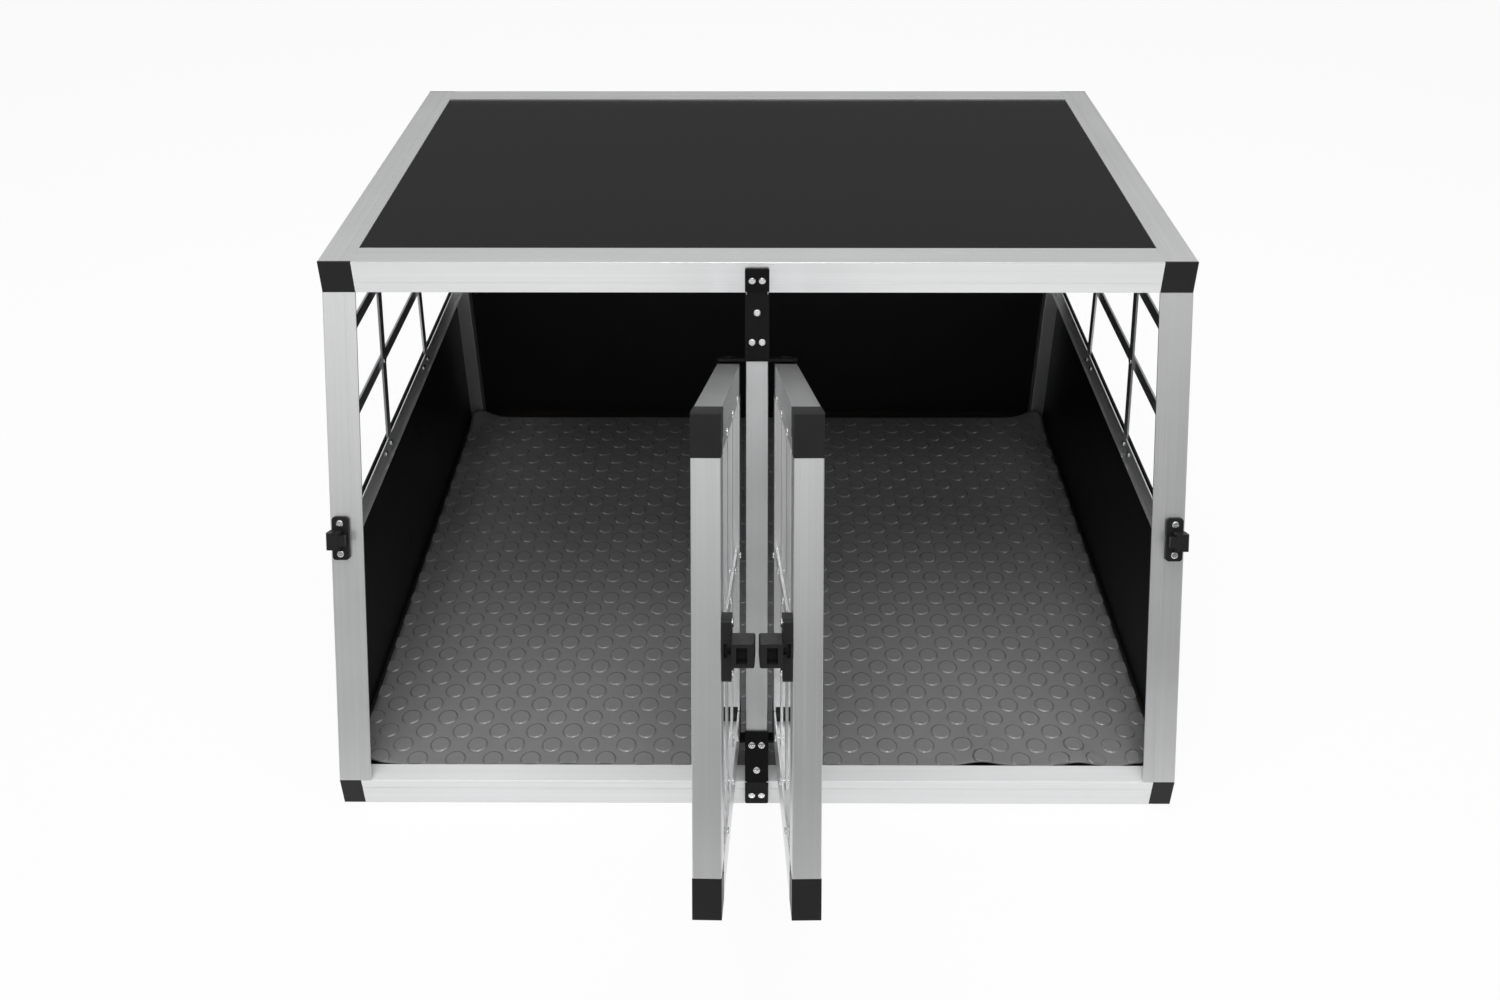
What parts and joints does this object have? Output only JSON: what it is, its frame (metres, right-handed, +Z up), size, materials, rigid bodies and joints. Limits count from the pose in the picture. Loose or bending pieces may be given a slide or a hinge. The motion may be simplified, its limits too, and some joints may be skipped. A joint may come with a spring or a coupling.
{
  "type": "car dog transport box",
  "caption": "Aluminium-framed car dog box with a slanted front, black panels, bar-grille windows and doors hung on a centre post, each with a slide latch.",
  "frame": {"origin": "middle of the base footprint, at floor level, on the underside of the floor bearer", "axes": "+X to the right seen from the doors, +Y to the back wall, +Z up; the doors face -Y"},
  "size_m": [0.97, 1.1583, 0.6471],
  "materials": {
    "frame_aluminium": "satin anodised",
    "bar_aluminium": "mill finish",
    "panel_black": "satin laminate",
    "floor_board": "black film-faced board",
    "mat_rubber": "studded rubber",
    "fitting_black": "satin moulded plastic",
    "bracket_black": "black powder coat",
    "fastener_steel": "bright zinc"
  },
  "bodies": {
    "crate": {"back_panel": "panel_black", "back_post_left": "frame_aluminium", "back_post_right": "frame_aluminium", "bottom_end_caps": "fitting_black", "bottom_rail_back": "frame_aluminium", "bottom_rail_left": "frame_aluminium", "bottom_rail_right": "frame_aluminium", "centre_post": "frame_aluminium", "door_sill": "frame_aluminium", "floor_bearer": "frame_aluminium", "floor_mat": "mat_rubber", "floor_panel": "floor_board", "frame_screws": "fastener_steel", "front_post_left": "frame_aluminium", "front_post_right": "frame_aluminium", "front_upright_left": "bar_aluminium", "front_upright_right": "bar_aluminium", "hinge_pins": "bracket_black", "keeper_left": "fitting_black", "keeper_right": "fitting_black", "lower_hinge_bracket": "bracket_black", "panel_trim_left": "frame_aluminium", "panel_trim_right": "frame_aluminium", "rear_upright_left": "bar_aluminium", "rear_upright_right": "bar_aluminium", "roof_panel": "panel_black", "side_bars_left": "bar_aluminium", "side_bars_right": "bar_aluminium", "side_panel_left": "panel_black", "side_panel_right": "panel_black", "side_rivets_left": "fastener_steel", "side_rivets_right": "fastener_steel", "top_end_caps": "fitting_black", "top_rail_back": "frame_aluminium", "top_rail_front": "frame_aluminium", "top_rail_left": "frame_aluminium", "top_rail_right": "frame_aluminium", "upper_hinge_bracket": "bracket_black"},
    "left_door": {"left_door_bottom_rail": "frame_aluminium", "left_door_corners": "fitting_black", "left_door_cross_bar": "bar_aluminium", "left_door_hinge_stile": "frame_aluminium", "left_door_latch_stile": "frame_aluminium", "left_door_rivets": "fastener_steel", "left_door_top_rail": "frame_aluminium", "left_door_uprights": "bar_aluminium", "left_latch_base": "fitting_black"},
    "right_door": {"right_door_bottom_rail": "frame_aluminium", "right_door_corners": "fitting_black", "right_door_cross_bar": "bar_aluminium", "right_door_hinge_stile": "frame_aluminium", "right_door_latch_stile": "frame_aluminium", "right_door_rivets": "fastener_steel", "right_door_top_rail": "frame_aluminium", "right_door_uprights": "bar_aluminium", "right_latch_base": "fitting_black"},
    "left_latch": {"left_latch_slider": "fitting_black"},
    "right_latch": {"right_latch_slider": "fitting_black"}
  },
  "joints": [
    {"name": "left_door_hinge", "type": "hinge", "parent": "crate", "child": "left_door", "pos_m": [-0.0315, -0.28422, 0.27753], "axis": [0, 0.4145, 0.9101], "range_deg": [-88.5, 0]},
    {"name": "right_door_hinge", "type": "hinge", "parent": "crate", "child": "right_door", "pos_m": [0.0315, -0.28422, 0.27753], "axis": [0, 0.4145, 0.9101], "range_deg": [0, 88.5]},
    {"name": "left_latch_slide", "type": "slide", "parent": "left_door", "child": "left_latch", "axis": [0.0262, 0.9098, -0.4143], "range_m": [-0.011, 0]},
    {"name": "right_latch_slide", "type": "slide", "parent": "right_door", "child": "right_latch", "axis": [0.0262, -0.9098, 0.4143], "range_m": [0, 0.011]}
  ]
}
